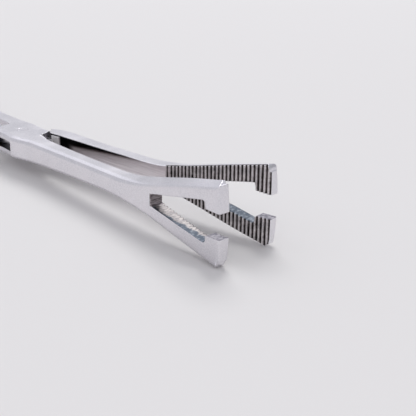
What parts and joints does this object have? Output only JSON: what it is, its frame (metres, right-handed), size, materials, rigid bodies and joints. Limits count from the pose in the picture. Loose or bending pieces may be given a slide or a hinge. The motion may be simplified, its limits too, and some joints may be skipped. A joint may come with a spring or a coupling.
{
  "type": "slotted tissue forceps",
  "caption": "Ring-handled tissue forceps with a box joint and a ratchet; each triangular serrated jaw is slotted and open at the tip between two inturned feet.",
  "frame": {"origin": "on the rivet's axis, at mid height of the box joint", "axes": "+X from the rivet towards the jaw tips, parallel to the plane midway between the jaws, which lies 1.2 mm off the rivet on the +Y side; +Z along the rivet, up"},
  "size_m": [0.1584, 0.0714, 0.0148],
  "materials": {
    "satin_steel": "satin",
    "pin_steel": "satin"
  },
  "bodies": {
    "box_half": {"box_arm": "satin_steel", "pivot_pin": "pin_steel"},
    "tang_half": {"tang_arm": "satin_steel"}
  },
  "joints": [
    {"name": "box_pivot", "type": "hinge", "parent": "box_half", "child": "tang_half", "pos_m": [0, 0, 0], "axis": [0, 0, 1], "range_deg": [-9.4, 42.5]}
  ]
}
